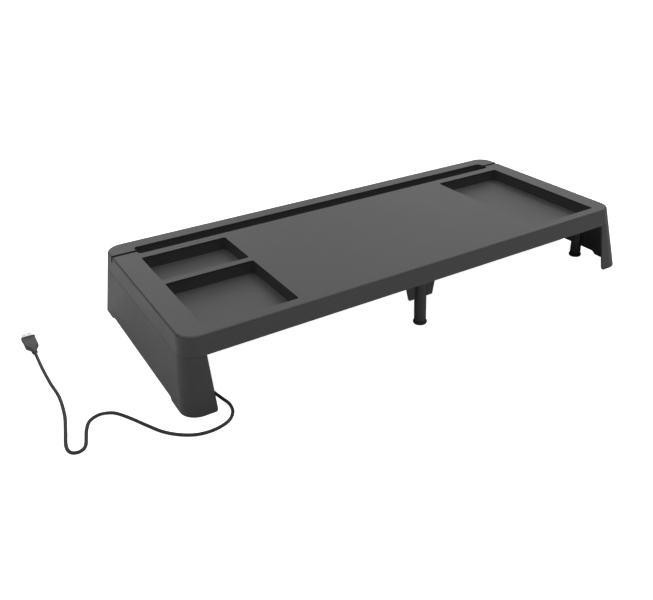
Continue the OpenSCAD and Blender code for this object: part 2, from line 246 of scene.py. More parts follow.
def rod(x, y, z0, z1, r, sides=32):
    """A plain upright cylinder."""
    return turned("rod", x, y, [(r, z0), (r, z1)], sides)


def prism(name, points, axis, start, end):
    """Extrudes an outline of (u, v) points along x (u is y, v is z) or along y (u is -x, v is z)."""
    if axis == "x":
        rings = [[(d, u, v) for u, v in points] for d in (start, end)]
    else:
        rings = [[(-u, d, v) for u, v in points] for d in (start, end)]
    return loft(name, rings)


def joined(name, parts):
    """Several objects as one, without changing their solids."""
    bm = bmesh.new()
    for part in parts:
        bm.from_mesh(part.data)
        bpy.data.objects.remove(part)
    mesh = bpy.data.meshes.new(name)
    bm.to_mesh(mesh)
    bm.free()
    return add_object(name, mesh)


def combine(obj, tool, operation):
    """Unites obj with tool, cuts it by tool or keeps what they share, and removes tool."""
    step = obj.modifiers.new("combine", "BOOLEAN")
    step.operation = operation
    step.solver = "MANIFOLD"
    step.object = tool
    graph = bpy.context.evaluated_depsgraph_get()
    mesh = bpy.data.meshes.new_from_object(obj.evaluated_get(graph))
    obj.modifiers.clear()
    obj.data = mesh
    bpy.data.objects.remove(tool)
    return obj


def unite(obj, *tools):
    """Adds every tool to obj."""
    for tool in tools:
        combine(obj, tool, "UNION")
    return obj


def cut(obj, *tools):
    """Cuts every tool out of obj."""
    for tool in tools:
        combine(obj, tool, "DIFFERENCE")
    return obj


def keep(obj, tool):
    """Keeps only what obj and tool share."""
    return combine(obj, tool, "INTERSECT")


def mirrored(obj):
    """Turns a left-hand solid into its right-hand twin."""
    bm = bmesh.new()
    bm.from_mesh(obj.data)
    for v in bm.verts:
        v.co.x = -v.co.x
    bmesh.ops.reverse_faces(bm, faces=bm.faces)
    bm.to_mesh(obj.data)
    bm.free()
    return obj


def tidy_mesh(obj, width=0.0, picked=lambda edge: True):
    """Merges flat neighbours, rounds the picked sharp edges and shades the rest smooth."""
    bm = bmesh.new()
    bm.from_mesh(obj.data)
    bmesh.ops.remove_doubles(bm, verts=bm.verts, dist=SAME_POINT)
    bmesh.ops.dissolve_limit(bm, angle_limit=math.radians(0.4), verts=bm.verts, edges=bm.edges)
    if width:
        sharp = [e for e in bm.edges
                 if len(e.link_faces) == 2 and e.calc_face_angle() > math.radians(50) and picked(e)]
        bmesh.ops.bevel(bm, geom=sharp, offset=width, segments=2, profile=0.5, affect="EDGES",
                        clamp_overlap=True)
    for f in bm.faces:
        f.smooth = True
    for e in bm.edges:
        e.smooth = len(e.link_faces) == 2 and e.calc_face_angle() < math.radians(33)
    bm.to_mesh(obj.data)
    bm.free()
    flat = obj.modifiers.new("flat faces", "WEIGHTED_NORMAL")
    flat.keep_sharp = True
    flat.weight = 80
    return obj


def soften(obj, width):
    """Rounds a CAD node's sharp edges by modifiers, which leave its own mesh alone."""
    obj.modifiers.new("weld", "WELD").merge_threshold = SAME_POINT
    edges = obj.modifiers.new("edges", "BEVEL")
    edges.width = width
    edges.segments = 2
    edges.limit_method = "ANGLE"
    edges.angle_limit = math.radians(40)
    for polygon in obj.data.polygons:
        polygon.use_smooth = True
    obj.modifiers.new("flat faces", "WEIGHTED_NORMAL").keep_sharp = True
    return obj


# ---- materials ----

def new_node(tree, kind, inputs=None, **settings):
    """A shader node with its settings and the values of its inputs."""
    node = tree.nodes.new(kind)
    for key, value in settings.items():
        setattr(node, key, value)
    for key, value in (inputs or {}).items():
        node.inputs[key].default_value = value
    return node


def grey(value, warm=0.0):
    """A grey colour, a little warm if asked."""
    return (value * (1 + warm), value, value * (1 - warm), 1)


def new_material(name):
    """A material, its node tree, its shader and the object coordinates."""
    material = bpy.data.materials.new(name)
    material.use_nodes = True
    tree = material.node_tree
    shader = tree.nodes["Principled BSDF"]
    where = new_node(tree, "ShaderNodeTexCoord").outputs["Object"]
    return material, tree, shader, where


def noise(tree, where, scale, detail=2.0, rough=0.5, stretch=None):
    """Noise over object coordinates; stretch gives its scale along x, y and z."""
    if stretch:
        shaped = new_node(tree, "ShaderNodeMapping", {"Scale": stretch})
        tree.links.new(where, shaped.inputs["Vector"])
        where = shaped.outputs["Vector"]
    made = new_node(tree, "ShaderNodeTexNoise", {"Scale": scale, "Detail": detail, "Roughness": rough})
    tree.links.new(where, made.inputs["Vector"])
    return made.outputs["Fac"]


def ramp(tree, value, low, high, start=0.0, end=1.0):
    """Maps low..high to start..end, clamped."""
    made = new_node(tree, "ShaderNodeMapRange", {
        "From Min": low, "From Max": high, "To Min": start, "To Max": end})
    tree.links.new(value, made.inputs["Value"])
    return made.outputs["Result"]


def blend_colour(tree, factor, first, second):
    """Mixes two colours; each may be a colour or a socket."""
    made = new_node(tree, "ShaderNodeMix", data_type="RGBA")
    tree.links.new(factor, made.inputs["Factor"])
    for value, key in ((first, "A"), (second, "B")):
        socket = [s for s in made.inputs if s.name == key and s.type == "RGBA"][0]
        if isinstance(value, bpy.types.NodeSocket):
            tree.links.new(value, socket)
        else:
            socket.default_value = value
    return [s for s in made.outputs if s.type == "RGBA"][0]


def bump(tree, shader, height, depth):
    """Gives the shader a surface that rises with height by up to depth."""
    made = new_node(tree, "ShaderNodeBump", {"Strength": 1.0, "Distance": depth})
    tree.links.new(height, made.inputs["Height"])
    tree.links.new(made.outputs["Normal"], shader.inputs["Normal"])


def edge_mask(tree, radius):
    """1 on convex and concave edges, 0 on flat stretches."""
    soft = new_node(tree, "ShaderNodeBevel", {"Radius": radius}, samples=4)
    true = new_node(tree, "ShaderNodeNewGeometry")
    dot = new_node(tree, "ShaderNodeVectorMath", operation="DOT_PRODUCT")
    tree.links.new(soft.outputs["Normal"], dot.inputs[0])
    tree.links.new(true.outputs["Normal"], dot.inputs[1])
    return ramp(tree, dot.outputs["Value"], 0.995, 0.86)


def combined(tree, operation, first, second):
    """A sum, product or other operation; each value may be a number or a socket."""
    made = new_node(tree, "ShaderNodeMath", operation=operation)
    for index, value in enumerate((first, second)):
        if isinstance(value, bpy.types.NodeSocket):
            tree.links.new(value, made.inputs[index])
        else:
            made.inputs[index].default_value = value
    return made.outputs["Value"]


def moulded_plastic(name, value, roughness, grain=1900.0, depth=0.00004, specular=0.35, worn=1.5):
    """Spark-textured moulded plastic: fine grain, cloudy colour, faint scuffs, and paler worn edges."""
    material, tree, shader, where = new_material(name)
    clouds = noise(tree, where, 11.0, 4.0, 0.6)
    specks = noise(tree, where, 900.0, 2.0)
    scuffs = ramp(tree, noise(tree, where, 1.0, 3.0, 0.7, (14.0, 420.0, 90.0)), 0.66, 0.74)
    base = blend_colour(tree, ramp(tree, clouds, 0.3, 0.7), grey(value * 0.93), grey(value * 1.07, 0.01))
    base = blend_colour(tree, ramp(tree, specks, 0.60, 0.72, 0.0, 0.35), base, grey(value * 1.5))
    wear = combined(tree, "MULTIPLY", edge_mask(tree, 0.0008), ramp(tree, clouds, 0.35, 0.65, 0.15, 0.6))
    base = blend_colour(tree, wear, base, grey(value * worn))
    base = blend_colour(tree, combined(tree, "MULTIPLY", scuffs, 0.18), base, grey(value * 1.7))
    tree.links.new(base, shader.inputs["Base Color"])
    uneven = ramp(tree, clouds, 0.3, 0.7, roughness - 0.04, roughness + 0.04)
    tree.links.new(combined(tree, "ADD", uneven, combined(tree, "MULTIPLY", scuffs, -0.08)),
                   shader.inputs["Roughness"])
    shader.inputs["Specular IOR Level"].default_value = specular
    bump(tree, shader, noise(tree, where, grain, 3.0, 0.55), depth)
    return material


def rubber(name, value, roughness):
    """Matte rubber with a fine sandy surface, dusty in patches."""
    material, tree, shader, where = new_material(name)
    dust = ramp(tree, noise(tree, where, 55.0, 5.0, 0.65), 0.45, 0.7)
    base = blend_colour(tree, dust, grey(value), grey(value * 1.45, 0.02))
    tree.links.new(base, shader.inputs["Base Color"])
    tree.links.new(ramp(tree, dust, 0.0, 1.0, roughness - 0.05, roughness + 0.08),
                   shader.inputs["Roughness"])
    shader.inputs["Specular IOR Level"].default_value = 0.3
    bump(tree, shader, noise(tree, where, 2600.0, 3.0), 0.00005)
    return material


def metal(name, colour, roughness, stretch):
    """Plated metal with fine brush lines and slight tarnish."""
    material, tree, shader, where = new_material(name)
    tarnish = noise(tree, where, 240.0, 4.0, 0.6)
    lines = noise(tree, where, 1.0, 3.0, 0.6, stretch)
    darker = tuple(c * 0.8 for c in colour[:3]) + (1,)
    base = blend_colour(tree, ramp(tree, tarnish, 0.4, 0.75), colour, darker)
    tree.links.new(base, shader.inputs["Base Color"])
    shader.inputs["Metallic"].default_value = 1.0
    tree.links.new(ramp(tree, lines, 0.3, 0.7, roughness - 0.06, roughness + 0.1),
                   shader.inputs["Roughness"])
    bump(tree, shader, lines, 0.00002)
    return material


def board_green(name):
    """Solder mask over copper tracks."""
    material, tree, shader, where = new_material(name)
    tracks = new_node(tree, "ShaderNodeTexBrick", {
        "Scale": 160.0, "Mortar Size": 0.09, "Brick Width": 0.9, "Row Height": 0.25})
    tree.links.new(where, tracks.inputs["Vector"])
    mask = ramp(tree, tracks.outputs["Fac"], 0.3, 0.7)
    base = blend_colour(tree, mask, (0.010, 0.085, 0.030, 1), (0.030, 0.170, 0.055, 1))
    tree.links.new(base, shader.inputs["Base Color"])
    tree.links.new(ramp(tree, noise(tree, where, 90.0), 0.3, 0.7, 0.22, 0.36), shader.inputs["Roughness"])
    bump(tree, shader, mask, 0.00003)
    return material


MATERIALS = {
    "deck_plastic": moulded_plastic("deck_plastic", 0.058, 0.46),
    "leg_plastic": moulded_plastic("leg_plastic", 0.051, 0.48),
    "post_plastic": moulded_plastic("post_plastic", 0.050, 0.50, grain=2400.0, specular=0.2),
    # The foot plastic's tone is partly painted light: it is raised above the plastic's own dark grey to stand
    # in for the highlight on the foot disc's top.
    "foot_plastic": moulded_plastic("foot_plastic", 0.040, 0.46, grain=2400.0, specular=0.25),
    "hub_plastic": moulded_plastic("hub_plastic", 0.020, 0.40, grain=2200.0),
    "chip_black": moulded_plastic("chip_black", 0.012, 0.50, grain=5000.0, depth=0.00002),
    # The tongues are white, but their tone here is painted shade: a grey of 0.55 darkens them as if they sat
    # in the dim inside of the plug.
    "tongue_white": moulded_plastic("tongue_white", 0.55, 0.38, grain=4000.0, depth=0.00001, worn=1.1),
    "pad_rubber": rubber("pad_rubber", 0.007, 0.80),
    "lead_rubber": rubber("lead_rubber", 0.025, 0.52),
    "plug_rubber": rubber("plug_rubber", 0.056, 0.55),
    "insert_brass": metal("insert_brass", (0.72, 0.48, 0.20, 1), 0.30, (400.0, 400.0, 5000.0)),
    "screw_steel": metal("screw_steel", (0.55, 0.55, 0.56, 1), 0.32, (5000.0, 5000.0, 500.0)),
    "socket_metal": metal("socket_metal", (0.88, 0.87, 0.85, 1), 0.34, (5000.0, 300.0, 5000.0)),
    "board_green": board_green("board_green"),
}


def dress(obj, slot):
    """Gives obj the material of a record slot."""
    obj.data.materials.clear()
    obj.data.materials.append(MATERIALS[slot])


def stands_for(obj, slot, body, *nodes):
    """obj shows instead of these CAD nodes, in a slot's material, on a body."""
    obj.name = nodes[0] + "_piece"
    obj.data.name = obj.name
    dress(obj, slot)
    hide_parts(*nodes)
    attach(obj, body)
    return obj


# ---- camera and lead ----

def add_camera():
    """The camera of the main view."""
    data = bpy.data.cameras.new("camera")
    data.sensor_width = 36.0
    data.lens = 41.12
    data.shift_x = -0.0712
    data.clip_end = 60.0
    camera = add_object("camera", data)
    camera.location = (-0.5202, -0.8172, 0.4963)
    camera.rotation_euler = Euler([math.radians(a) for a in (61.626, 1.015, -33.142)])
    bpy.context.scene.camera = camera


def lead_curve():
    """The lead as one smooth curve through its route."""
    data = bpy.data.curves.new("lead_curve", "CURVE")
    data.dimensions = "3D"
    data.bevel_depth = LEAD_R
    data.bevel_resolution = 6
    data.resolution_u = 10
    data.use_fill_caps = True
    spline = data.splines.new("BEZIER")
    last = len(LEAD_ROUTE) - 1
    spline.bezier_points.add(last)
    for i, bezier in enumerate(spline.bezier_points):
        place = Vector(LEAD_ROUTE[i])
        reach = (Vector(LEAD_ROUTE[min(i + 1, last)]) - Vector(LEAD_ROUTE[max(i - 1, 0)])) / 6
        bezier.co = place
        bezier.handle_left_type = bezier.handle_right_type = "FREE"
        for handle, side in (("handle_left", -1), ("handle_right", 1)):
            point = place + side * reach
            point.z = max(point.z, ON_DESK)
            setattr(bezier, handle, point)
    return add_object("lead_curve", data)


# ---- deck ----

def pocket(name, x0, x1, y0, y1, depth, r):
    """The space of a tray or slot, with a rounded floor edge and a rim that flares over the top face."""
    floor_r, above = 0.0012, STAND_H + 2 * OVER
    floor = rounded_foot(STAND_H - depth, floor_r)
    rim = [(2 * STAND_H - z, inset - RIM_R) for z, inset in reversed(rounded_foot(STAND_H, RIM_R))]
    return slab(name, x0, x1, y0, y1, floor + rim + [(above, -RIM_R)], r)


def pan(x0, x1, y0, y1, depth, r):
    """The walls and floor under a tray or slot."""
    w, floor_r = PAN_WALL, 0.001
    low = STAND_H - depth - w
    levels = rounded_foot(low, floor_r, 3) + [(PLATE_Z + OVER, 0)]
    return slab("pan", x0 - w, x1 + w, y0 - w, y1 + w, levels, r + w)


def deck_ribs():
    """Stiffening ribs under the top plate, thinner at their free edge."""
    half, taper = 0.001, 0.0002
    levels = [(RIB_Z, taper), (PLATE_Z + OVER, 0)]
    return [slab("rib", x - half, x + half, -half_y(STAND_H) - OVER, SLOT[2], levels, 0) for x in RIBS_X]


def slits():
    """The spaces of the two cable slits, from the slot's ends out through the side skirt."""
    edge = half_x(0) + 0.005
    levels = [(STAND_H - SLIT_H, 0), (STAND_H + OVER, 0)]
    return [slab("slit", x0, x1, SLIT_Y - SLIT_W / 2, SLIT_Y + SLIT_W / 2, levels, 0)
            for x0, x1 in ((-edge, SLOT[0] + OVER), (SLOT[1] - OVER, edge))]


def deck():
    """The deck moulding, with its trays, slot, slits, ribs, spigots and screw bosses."""
    inner_r = 0.001
    body = skin("deck", rounded_foot(SKIRT_Z, PART_R, 3) + rounded_head(STAND_H, TOP_R, 6))
    cut(body, skin("cavity", [(SKIRT_Z - OVER, WALL)] + rounded_head(PLATE_Z, inner_r, 3, WALL)))
    unite(body, *[pan(*tray, TRAY_DEPTH, TRAY_R) for tray in TRAYS], pan(*SLOT, SLOT_DEPTH, SLOT_R))
    unite(body, *deck_ribs())
    spigots = [rod(x, y, PLATE_Z - SPIGOT_L, PLATE_Z + OVER, SPIGOT_R) for x, y in POSTS.values()]
    leg_bosses = [rod(x, y, SKIRT_Z, PLATE_Z + OVER, BOSS_R) for x, y in LEG_SCREWS]
    tab_bosses = [rod(x, y, TAB_Z + TAB_T, PLATE_Z + OVER, BOSS_R) for x, y in TAB_SCREWS]
    for bosses in (spigots, leg_bosses, tab_bosses):
        unite(body, joined("bosses", bosses))
    cut(body, *[pocket("tray", *tray, TRAY_DEPTH, TRAY_R) for tray in TRAYS])
    cut(body, pocket("slot", *SLOT, SLOT_DEPTH, SLOT_R))
    cut(body, *slits())
    pilots = [rod(x, y, SKIRT_Z - OVER, SKIRT_Z + 0.012, PILOT_R, 16) for x, y in LEG_SCREWS]
    pilots += [rod(x, y, TAB_Z, PLATE_Z - 0.001, PILOT_R, 16) for x, y in TAB_SCREWS]
    cut(body, joined("pilots", pilots))
    return tidy_mesh(body)


# ---- legs ----

def arch_points():
    """Outline of the space under a side panel, with an S-shaped step at each end."""
    step_len, steps = 0.008, 8
    rise = [(step_len * k / steps, ARCH_H * (1 - math.cos(math.pi * k / steps)) / 2)
            for k in range(steps + 1)]
    left = [(-ARCH_REACH + y, z) for y, z in rise]
    right = [(ARCH_REACH - y, z) for y, z in rise]
    return [(-ARCH_REACH, -OVER), (ARCH_REACH, -OVER)] + right + list(reversed(left))


def toe_tool():
    """What rounds the lower inner corner of both returns."""
    steps = 8
    angles = [math.pi / 2 * k / steps for k in range(steps + 1)]
    arc = [(RETURN_X + TOE_R - TOE_R * math.sin(a), TOE_R - TOE_R * math.cos(a)) for a in angles]
    outline = arc + [(RETURN_X - OVER, TOE_R), (RETURN_X - OVER, -OVER), (RETURN_X + TOE_R, -OVER)]
    return prism("toe", outline, "y", -half_y(0) - OVER, half_y(0) + OVER)


def leg_region(z0, z1):
    """All of the space from the left leg's outer face in to its returns' ends."""
    return slab("region", -half_x(0) - OVER, -RETURN_X, -half_y(0) - OVER, half_y(0) + OVER,
                [(z0, 0), (z1, 0)], 0)


def at_inner_end(edge):
    """Whether an edge lies in the plane of the left leg's inner ends."""
    return all(abs(v.co.x + RETURN_X) < 0.00001 for v in edge.verts)


def leg():
    """The left leg: a leaning shell with front and back returns, open to the inside."""
    edge_r, inner_r, end_r, hole_r = 0.0012, 0.001, 0.0005, 0.0018
    lip_z, lip_out, lip_in = SKIRT_Z + 0.005, WALL + GAP, WALL + GAP + 0.002
    body = skin("leg", rounded_foot(0, edge_r) + rounded_head(SKIRT_Z - PART_GAP, PART_R, 3))
    cut(body, skin("hollow", [(-OVER, WALL)] + rounded_head(WEB_Z, inner_r, 3, WALL)))
    lip = skin("lip", [(WEB_Z + OVER, lip_out), (lip_z, lip_out)])
    unite(body, cut(lip, skin("lip hollow", [(WEB_Z, lip_in), (lip_z + OVER, lip_in)])))
    keep(body, leg_region(-OVER, lip_z + OVER))
    pads = [rod(-SCREW_X, y, WEB_Z + OVER, SKIRT_Z, BOSS_R) for y in SCREW_Y]
    unite(body, joined("pads", pads))
    cut(body, prism("arch", arch_points(), "x", -half_x(0) - OVER, -half_x(0) + 0.015), toe_tool())
    left_posts = [POSTS["left_front"], POSTS["left_rear"]]
    wells = [rod(x, y, WEB_Z - OVER, lip_z + 2 * OVER, POST_R + GAP) for x, y in left_posts]
    holes = [rod(-SCREW_X, y, WEB_Z - OVER, SKIRT_Z + OVER, hole_r, 16) for y in SCREW_Y]
    ears = [rod(-SCREW_X, side * EAR_Y, WEB_Z - OVER, SKIRT_Z + OVER, PILOT_R, 16) for side in (-1, 1)]
    for tools in (wells, holes, ears):
        cut(body, joined("holes", tools))
    return tidy_mesh(body, end_r, at_inner_end)


# ---- posts, feet and pads ----

def post_tube(place):
    """A post, hollow at both ends, with eased rims."""
    lo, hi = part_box(f"{place}_post")
    bore_r, bore_end, ease = 0.00425, 0.026, 0.0005
    insert_z = lo.z + INSERT_L
    spigot_z = PLATE_Z - SPIGOT_L - GAP
    profile = [
        (bore_r, bore_end), (bore_r, insert_z), (INSERT_R, insert_z), (INSERT_R, lo.z + ease),
        (INSERT_R + ease, lo.z), (POST_R - ease, lo.z), (POST_R - ease * 0.3, lo.z + ease * 0.3),
        (POST_R, lo.z + ease), (POST_R, hi.z - ease), (POST_R - ease, hi.z),
        (SPIGOT_R + ease, hi.z), (SPIGOT_R, hi.z - ease), (SPIGOT_R, spigot_z)]
    return turned("post", *POSTS[place], profile, 48)


def fin(x, y, side):
    """One gusset fin with a screw tab behind it and a groove where it meets the post."""
    half, z0, z1 = 0.0015, 0.038, 0.0785
    reach_low, reach_high = 0.0185, 0.0267
    root = POST_R - 0.001
    outline = [(root, z0), (reach_low - 0.0006, z0), (reach_low, z0 + 0.0008), (reach_high, z1), (root, z1)]
    made = prism("fin", [(-side * u - x, z) for u, z in outline], "y", y + half, y - half)
    tab_x, tab_half, tab_end = x + side * TAB_X, 0.006, y + 0.0125
    unite(made, slab("tab", tab_x - tab_half, tab_x + tab_half, y - half, tab_end,
                     [(TAB_Z, 0), (TAB_Z + TAB_T, 0)], 0.0003))
    near, far = sorted((x + side * (POST_R - 0.0005), x + side * (POST_R + 0.0012)))
    groove = slab("groove", near, far, y - 2 * half, y - half + 0.0011,
                  [(z0 - OVER, 0), (TAB_Z - 0.001, 0)], 0)
    hole = rod(tab_x, y + TAB_Y, TAB_Z - OVER, TAB_Z + TAB_T + OVER, 0.0018, 20)
    return cut(made, hole, groove)


def centre_post(place):
    """A post with a fin on each side, whose edges are eased."""
    x, y = POSTS[place]
    edge_r = 0.0003
    body = unite(post_tube(place), fin(x, y, -1), fin(x, y, 1))
    return tidy_mesh(body, edge_r, lambda edge: min(abs(v.co.x - x) for v in edge.verts) > POST_R + 0.0005)


def thread(x, y, z0, z1, r, pitch, depth, sides=24):
    """Rings of a helical thread on a rod of radius r, which tapers in over the last turn."""
    per_turn = 6
    count = int((z1 - z0) / pitch * per_turn)
    rings = []
    for n in range(count + 1):
        z = z0 + (z1 - z0) * n / count
        ring = []
        for k in range(sides):
            phase = (z / pitch - k / sides) % 1.0
            shape = 1 - abs(2 * phase - 1)
            radius = r - depth * (1 - shape) - max(0.0, 0.4 * depth * (z - z1 + pitch) / pitch)
            a = math.tau * k / sides
            ring.append((x + radius * math.cos(a), y + radius * math.sin(a), z))
        rings.append(ring)
    return rings


def levelling_foot(place):
    """A disc with an eased rim and coin grips, on a threaded stud."""
    x, y = POSTS[place]
    pad_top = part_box(f"{place}_pad")[1].z
    lo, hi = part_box(f"{place}_foot")
    r, disc_top = (hi.x - lo.x) / 2, pad_top + 0.002
    levels = rounded_foot(pad_top, 0.0004, 3) + rounded_head(disc_top, 0.0007)
    disc = turned("disc", x, y, [(r - inset, z) for z, inset in levels], 48)
    grips, grip_r, grip_at = 12, 0.0013, r + 0.0008
    for k in range(grips):
        a = math.tau * (k + 0.5) / grips
        cut(disc, rod(x + grip_at * math.cos(a), y + grip_at * math.sin(a),
                      pad_top - OVER, disc_top + OVER, grip_r, 12))
    stud_r, root_r, pitch, depth = 0.00395, 0.0036, 0.00125, 0.0006
    rings = [circle(x, y, disc_top - 0.0003, root_r, 24)] + thread(x, y, disc_top, hi.z, stud_r, pitch, depth)
    unite(disc, loft("stud", rings))
    return tidy_mesh(disc)


def foot_pad(place):
    """A rubber disc with two moulded rings in its lower face."""
    x, y = POSTS[place]
    lo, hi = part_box(f"{place}_pad")
    r, low, high = (hi.x - lo.x) / 2, lo.z - OVER, lo.z + 0.0004
    levels = rounded_foot(lo.z, 0.0004, 3) + rounded_head(hi.z, 0.0002, 2)
    disc = turned("pad", x, y, [(r - inset, z) for z, inset in levels], 48)
    for inner in (0.0030, 0.0055):
        outer = inner + 0.0009
        section = [(inner, low), (outer, low), (outer, high), (inner, high)]
        cut(disc, turned("ring", x, y, section, 48, around=True))
    return tidy_mesh(disc)


def insert(place):
    """A knurled brass insert with a groove round its middle."""
    x, y = POSTS[place]
    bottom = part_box(f"{place}_post")[0].z
    z0, z1, bore, root, sides = bottom + GAP, bottom + INSERT_L, 0.004, 0.0052, 48
    mid, waist = (z0 + z1) / 2, root - 0.0003
    section = [
        (bore, z0 + 0.0005), (bore + 0.0005, z0), (root, z0), (INSERT_R, z0 + 0.0005),
        (INSERT_R, mid - 0.001), (waist, mid - 0.0007), (waist, mid + 0.0007), (INSERT_R, mid + 0.001),
        (INSERT_R, z1 - 0.0005), (root, z1), (bore + 0.0003, z1), (bore, z1 - 0.0003)]
    rings = []
    for r, z in section:
        teeth = circle(x, y, z, r, sides)
        grooves = circle(x, y, z, min(r, root), sides)
        rings.append([grooves[k] if k % 2 else teeth[k] for k in range(sides)])
    return loft("insert", rings, around=True)


# ---- screws ----

def screw(x, y, z, length):
    """A pan-head screw, head down, with a cross recess and a coarse thread."""
    head_r, shank_r, pitch, depth, steps = 0.003, 0.0015, 0.001, 0.0004, 5
    top = z - 0.0022
    angles = [math.pi / 2 * k / steps for k in range(steps + 1)]
    dome = [(head_r * (0.45 + 0.55 * math.sin(a)), top + 0.0012 * (1 - math.cos(a))) for a in angles]
    head = [circle(x, y, h, r, 24) for r, h in dome + [(head_r, z), (shank_r, z)]]
    made = loft("screw", head + thread(x, y, z + 0.0005, z + length, shank_r, pitch, depth))
    arm, half = 0.0017, 0.00035
    levels = [(top - OVER, 0), (top, 0), (top + 0.0012, 0.0002)]
    for w, d in ((arm, half), (half, arm)):
        cut(made, slab("recess", x - w, x + w, y - d, y + d, levels, 0))
    return made


def screws(places, z, length):
    """Screws whose heads sit at z, as one piece."""
    return tidy_mesh(joined("screws", [screw(x, y, z, length) for x, y in places]))


# ---- strain relief and plug ----

def across(x, z, y, half_w, half_h, r, arc=6):
    """A rounded rectangle that stands across the y axis."""
    points = rect_points(-half_w, half_w, -half_h, half_h, r, arc)
    return [(x - u, y, z + v) for u, v in points]


def strain_relief():
    """A tapered sleeve with flexing grooves, from inside the hub wall to the lead."""
    x, _, z = LEAD_ROUTE[0]
    lo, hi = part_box("strain_relief")
    root, tip = hi.y, lo.y
    wall = root - 0.004
    start = wall - 0.0015
    root_r, flange_r, big_r, small_r, rings = 0.0029, 0.0040, 0.0034, 0.0022, 4
    sections = [(root, root_r), (wall, root_r), (wall, flange_r), (start, flange_r)]
    for k in range(rings):
        near = start + (tip - start) * (k + 0.15) / rings
        far = start + (tip - start) * (k + 0.62) / rings
        r = big_r + (small_r - big_r) * (k + 0.5) / rings
        groove_end = near + (tip - start) / rings + 0.0002
        sections += [(near, r), (far, r - 0.0001), (far - 0.0002, r - 0.0006), (groove_end, r - 0.0007)]
    sections += [(tip + 0.0006, small_r), (tip, 0.0020)]
    return tidy_mesh(loft("relief", [across(x, z, y, r, r, r, 8) for y, r in sections]))


def plug_body():
    """The plug's overmould: flat grip with two ring grooves a side, shoulders, flange and neck bead."""
    lo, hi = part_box("plug_body")
    w, h = (hi.x - lo.x) / 2, (hi.z - lo.z) / 2
    face = hi.y
    # From the neck to the face, as (y, half width, half height, corner radius)
    sections = [
        (lo.y, 0.0022, 0.0022, 0.0022), (lo.y + 0.0004, 0.0024, 0.0024, 0.0024),
        (lo.y + 0.0016, 0.0026, 0.0026, 0.0026), (lo.y + 0.0022, 0.0035, 0.0034, 0.0034),
        (lo.y + 0.0050, 0.0035, 0.0034, 0.0034), (lo.y + 0.0056, 0.0025, 0.0025, 0.0025),
        (lo.y + 0.0072, 0.0025, 0.0025, 0.0025), (lo.y + 0.0100, 0.0038, 0.0031, 0.0028),
        (lo.y + 0.0150, 0.0060, h - 0.0005, 0.0026), (lo.y + 0.0176, w - 0.0014, h - 0.0004, 0.0024),
        (lo.y + 0.0192, w - 0.0007, h - 0.0003, 0.0022), (lo.y + 0.0215, w - 0.0006, h - 0.0003, 0.0020),
        (face - 0.0012, w - 0.0005, h - 0.0003, 0.0018), (face - 0.0010, w, h, 0.0018),
        (face - 0.0002, w, h, 0.0018), (face, w - 0.0002, h - 0.0002, 0.0015)]
    body = loft("plug", [across(PLUG_X, PLUG_Z, *section) for section in reversed(sections)])
    for side in (-1, 1):
        top = PLUG_Z + side * (h - 0.0003)
        low, high = sorted((top - side * 0.0005, top + side * OVER))
        for inset in (0.0020, 0.0036):
            x0, x1, width = PLUG_X - w + inset, PLUG_X + w - inset, 0.0006
            y0, y1 = face - 0.0095 + inset, face - 0.0008 - inset * 0.8
            ring = slab("ring", x0, x1, y0, y1, [(low, 0), (high, 0)], 0.0009)
            cut(ring, slab("core", x0 + width, x1 - width, y0 + width, y1 - width,
                           [(low - OVER, 0), (high + OVER, 0)], 0.0005))
            cut(body, ring)
    edge_r = 0.00012
    return tidy_mesh(body, edge_r, lambda edge: edge.verts[0].co.y > NECK_Y + 0.02)


def plug_shell():
    """The plug's folded metal shell, open at its end, with two latch holes above and below."""
    lo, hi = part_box("plug_shell")
    w, h, t, r = (hi.x - lo.x) / 2, (hi.z - lo.z) / 2, 0.0003, 0.0006
    sections = [(hi.y, w - t, h - t), (hi.y, w, h), (lo.y, w, h), (lo.y, w - t, h - t)]
    shell = loft("shell", [across(PLUG_X, PLUG_Z, y, a, b, r if a == w else r - t) for y, a, b in sections],
                 around=True)
    hole_x, hole_y, hole_w, hole_l = 0.00325, lo.y + 0.0056, 0.0025, 0.0022
    for side in (-1, 1):
        x0 = PLUG_X + side * hole_x - hole_w / 2
        cut(shell, slab("latch", x0, x0 + hole_w, hole_y, hole_y + hole_l,
                        [(lo.z - OVER, 0), (hi.z + OVER, 0)], 0.0003))
    return tidy_mesh(shell)


def plug_tongue():
    """The white tongue, with four lanes let into its upper face."""
    lo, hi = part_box("plug_tongue")
    ease, pitch, half = 0.0002, 0.0023, 0.0006
    tongue = slab("tongue", lo.x, hi.x, lo.y, hi.y, [(lo.z, 0), (hi.z - ease, 0), (hi.z, ease)], 0.0003)
    for k in range(4):
        x = PLUG_X + (k - 1.5) * pitch
        cut(tongue, slab("lane", x - half, x + half, lo.y + 0.002, hi.y - 0.0008,
                         [(hi.z - 0.0003, 0), (hi.z + OVER, 0)], 0.0001))
    return tidy_mesh(tongue)


# ---- build ----

add_camera()
bpy.context.scene.view_settings.view_transform = "Standard"

lead = stands_for(lead_curve(), "lead_rubber", "stand", "lead")
on_lead = [
    stands_for(plug_body(), "plug_rubber", "stand", "plug_body"),
    stands_for(plug_shell(), "socket_metal", "stand", "plug_shell"),
    stands_for(plug_tongue(), "tongue_white", "stand", "plug_tongue"),
    stands_for(strain_relief(), "lead_rubber", "stand", "strain_relief"),
]

stands_for(deck(), "deck_plastic", "stand", "deck_shell")
stands_for(leg(), "leg_plastic", "stand", "left_leg")
stands_for(mirrored(leg()), "leg_plastic", "stand", "right_leg")

for place in PLACES:
    made = centre_post(place) if place in CENTRES else tidy_mesh(post_tube(place))
    stands_for(made, "post_plastic", "stand", f"{place}_post")
    stands_for(levelling_foot(place), "foot_plastic", f"{place}_leveller", f"{place}_foot")
    stands_for(foot_pad(place), "pad_rubber", f"{place}_leveller", f"{place}_pad")
stands_for(tidy_mesh(joined("inserts", [insert(place) for place in PLACES])), "insert_brass", "stand",
           "thread_inserts")

